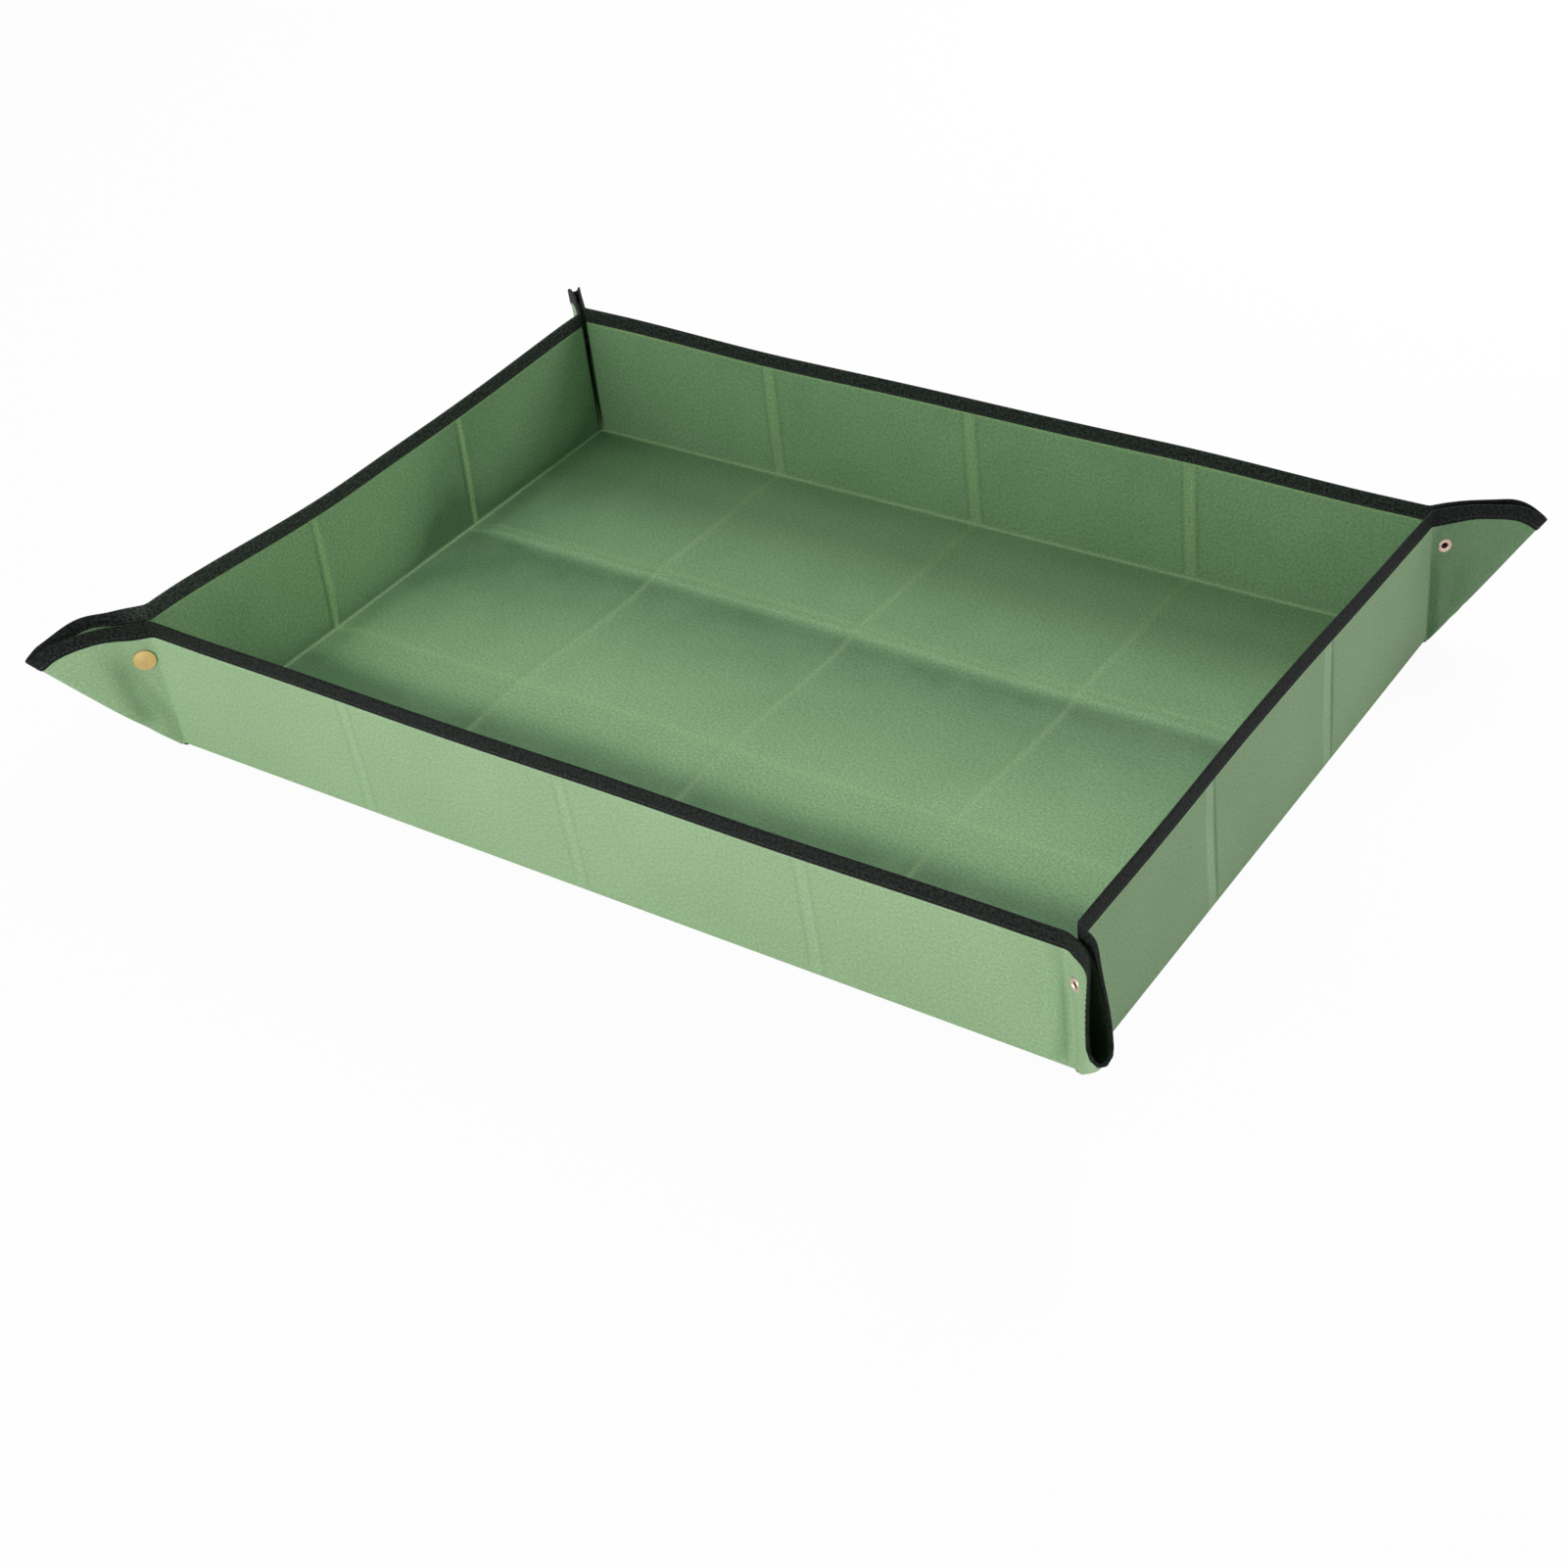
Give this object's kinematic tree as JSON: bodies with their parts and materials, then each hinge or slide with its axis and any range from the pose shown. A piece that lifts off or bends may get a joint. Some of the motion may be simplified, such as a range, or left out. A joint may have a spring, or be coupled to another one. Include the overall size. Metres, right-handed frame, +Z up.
{
  "type": "potting soil tray",
  "caption": "Fold-up potting tray of coated green cloth with a taped edge, its corners pinched into fins by snap fasteners so the sides stand as walls; unsnapped, it opens flat.",
  "frame": {"origin": "middle of the floor's underside, on the surface the tray stands on", "axes": "+X along the tray's length to the right, +Y from the front wall to the back wall, +Z up"},
  "size_m": [0.8962, 0.6462, 0.1158],
  "materials": {
    "cloth": "matt coated woven cloth",
    "edge_tape": "matt ribbed binding tape",
    "brass": "satin brass plate",
    "nickel": "warm nickel plate",
    "spring_steel": "bright wire"
  },
  "bodies": {
    "floor": {"floor_panel": "cloth"},
    "front_wall": {"front_wall_panel": "cloth", "front_wall_binding": "edge_tape"},
    "front_wall_left_gusset": {"front_wall_left_gusset": "cloth", "front_wall_left_gusset_binding": "edge_tape", "front_left_snap_cap": "brass", "front_left_snap_socket": "nickel", "front_left_snap_spring": "spring_steel"},
    "front_wall_right_gusset": {"front_wall_right_gusset": "cloth", "front_wall_right_gusset_binding": "edge_tape", "front_right_snap_stud": "nickel", "front_right_snap_post": "nickel"},
    "right_wall": {"right_wall_panel": "cloth", "right_wall_binding": "edge_tape"},
    "right_wall_left_gusset": {"right_wall_left_gusset": "cloth", "right_wall_left_gusset_binding": "edge_tape", "front_right_snap_cap": "brass", "front_right_snap_socket": "nickel", "front_right_snap_spring": "spring_steel"},
    "right_wall_right_gusset": {"right_wall_right_gusset": "cloth", "right_wall_right_gusset_binding": "edge_tape", "back_right_snap_stud": "nickel", "back_right_snap_post": "nickel"},
    "back_wall": {"back_wall_panel": "cloth", "back_wall_binding": "edge_tape"},
    "back_wall_left_gusset": {"back_wall_left_gusset": "cloth", "back_wall_left_gusset_binding": "edge_tape", "back_right_snap_cap": "brass", "back_right_snap_socket": "nickel", "back_right_snap_spring": "spring_steel"},
    "back_wall_right_gusset": {"back_wall_right_gusset": "cloth", "back_wall_right_gusset_binding": "edge_tape", "back_left_snap_stud": "nickel", "back_left_snap_post": "nickel"},
    "left_wall": {"left_wall_panel": "cloth", "left_wall_binding": "edge_tape"},
    "left_wall_left_gusset": {"left_wall_left_gusset": "cloth", "left_wall_left_gusset_binding": "edge_tape", "back_left_snap_cap": "brass", "back_left_snap_socket": "nickel", "back_left_snap_spring": "spring_steel"},
    "left_wall_right_gusset": {"left_wall_right_gusset": "cloth", "left_wall_right_gusset_binding": "edge_tape", "front_left_snap_stud": "nickel", "front_left_snap_post": "nickel"}
  },
  "joints": [
    {"name": "front_wall_fold", "type": "hinge", "parent": "floor", "child": "front_wall", "pos_m": [0, -0.26, 0.0003], "axis": [1, 0, 0], "range_deg": [0, 84]},
    {"name": "front_wall_left_gusset_fold", "type": "hinge", "parent": "front_wall", "child": "front_wall_left_gusset", "pos_m": [-0.38154, -0.26, 0.0578], "axis": [0, 0, -1], "range_deg": [0, 42], "deforming": ["front_left_snap_spring"]},
    {"name": "front_wall_right_gusset_fold", "type": "hinge", "parent": "front_wall", "child": "front_wall_right_gusset", "pos_m": [0.38154, -0.26, 0.0578], "axis": [0, 0, 1], "range_deg": [0, 42]},
    {"name": "right_wall_fold", "type": "hinge", "parent": "floor", "child": "right_wall", "pos_m": [0.385, 0, 0.0003], "axis": [0, 1, 0], "range_deg": [0, 84]},
    {"name": "right_wall_left_gusset_fold", "type": "hinge", "parent": "right_wall", "child": "right_wall_left_gusset", "pos_m": [0.385, -0.25654, 0.0578], "axis": [0, 0, -1], "range_deg": [0, 42], "deforming": ["front_right_snap_spring"]},
    {"name": "right_wall_right_gusset_fold", "type": "hinge", "parent": "right_wall", "child": "right_wall_right_gusset", "pos_m": [0.385, 0.25654, 0.0578], "axis": [0, 0, 1], "range_deg": [0, 42]},
    {"name": "back_wall_fold", "type": "hinge", "parent": "floor", "child": "back_wall", "pos_m": [0, 0.26, 0.0003], "axis": [-1, 0, 0], "range_deg": [0, 84]},
    {"name": "back_wall_left_gusset_fold", "type": "hinge", "parent": "back_wall", "child": "back_wall_left_gusset", "pos_m": [0.38154, 0.26, 0.0578], "axis": [0, 0, -1], "range_deg": [0, 42], "deforming": ["back_right_snap_spring"]},
    {"name": "back_wall_right_gusset_fold", "type": "hinge", "parent": "back_wall", "child": "back_wall_right_gusset", "pos_m": [-0.38154, 0.26, 0.0578], "axis": [0, 0, 1], "range_deg": [0, 42]},
    {"name": "left_wall_fold", "type": "hinge", "parent": "floor", "child": "left_wall", "pos_m": [-0.385, 0, 0.0003], "axis": [0, -1, 0], "range_deg": [0, 84]},
    {"name": "left_wall_left_gusset_fold", "type": "hinge", "parent": "left_wall", "child": "left_wall_left_gusset", "pos_m": [-0.385, 0.25654, 0.0578], "axis": [0, 0, -1], "range_deg": [0, 42], "deforming": ["back_left_snap_spring"]},
    {"name": "left_wall_right_gusset_fold", "type": "hinge", "parent": "left_wall", "child": "left_wall_right_gusset", "pos_m": [-0.385, -0.25654, 0.0578], "axis": [0, 0, 1], "range_deg": [0, 42]}
  ],
  "couplings": [
    {"joint": "front_wall_left_gusset_fold", "follows": "front_wall_fold", "ratio": 0.5},
    {"joint": "front_wall_right_gusset_fold", "follows": "front_wall_fold", "ratio": 0.5},
    {"joint": "right_wall_fold", "follows": "front_wall_fold", "ratio": 1},
    {"joint": "right_wall_left_gusset_fold", "follows": "front_wall_fold", "ratio": 0.5},
    {"joint": "right_wall_right_gusset_fold", "follows": "front_wall_fold", "ratio": 0.5},
    {"joint": "back_wall_fold", "follows": "front_wall_fold", "ratio": 1},
    {"joint": "back_wall_left_gusset_fold", "follows": "front_wall_fold", "ratio": 0.5},
    {"joint": "back_wall_right_gusset_fold", "follows": "front_wall_fold", "ratio": 0.5},
    {"joint": "left_wall_fold", "follows": "front_wall_fold", "ratio": 1},
    {"joint": "left_wall_left_gusset_fold", "follows": "front_wall_fold", "ratio": 0.5},
    {"joint": "left_wall_right_gusset_fold", "follows": "front_wall_fold", "ratio": 0.5}
  ]
}
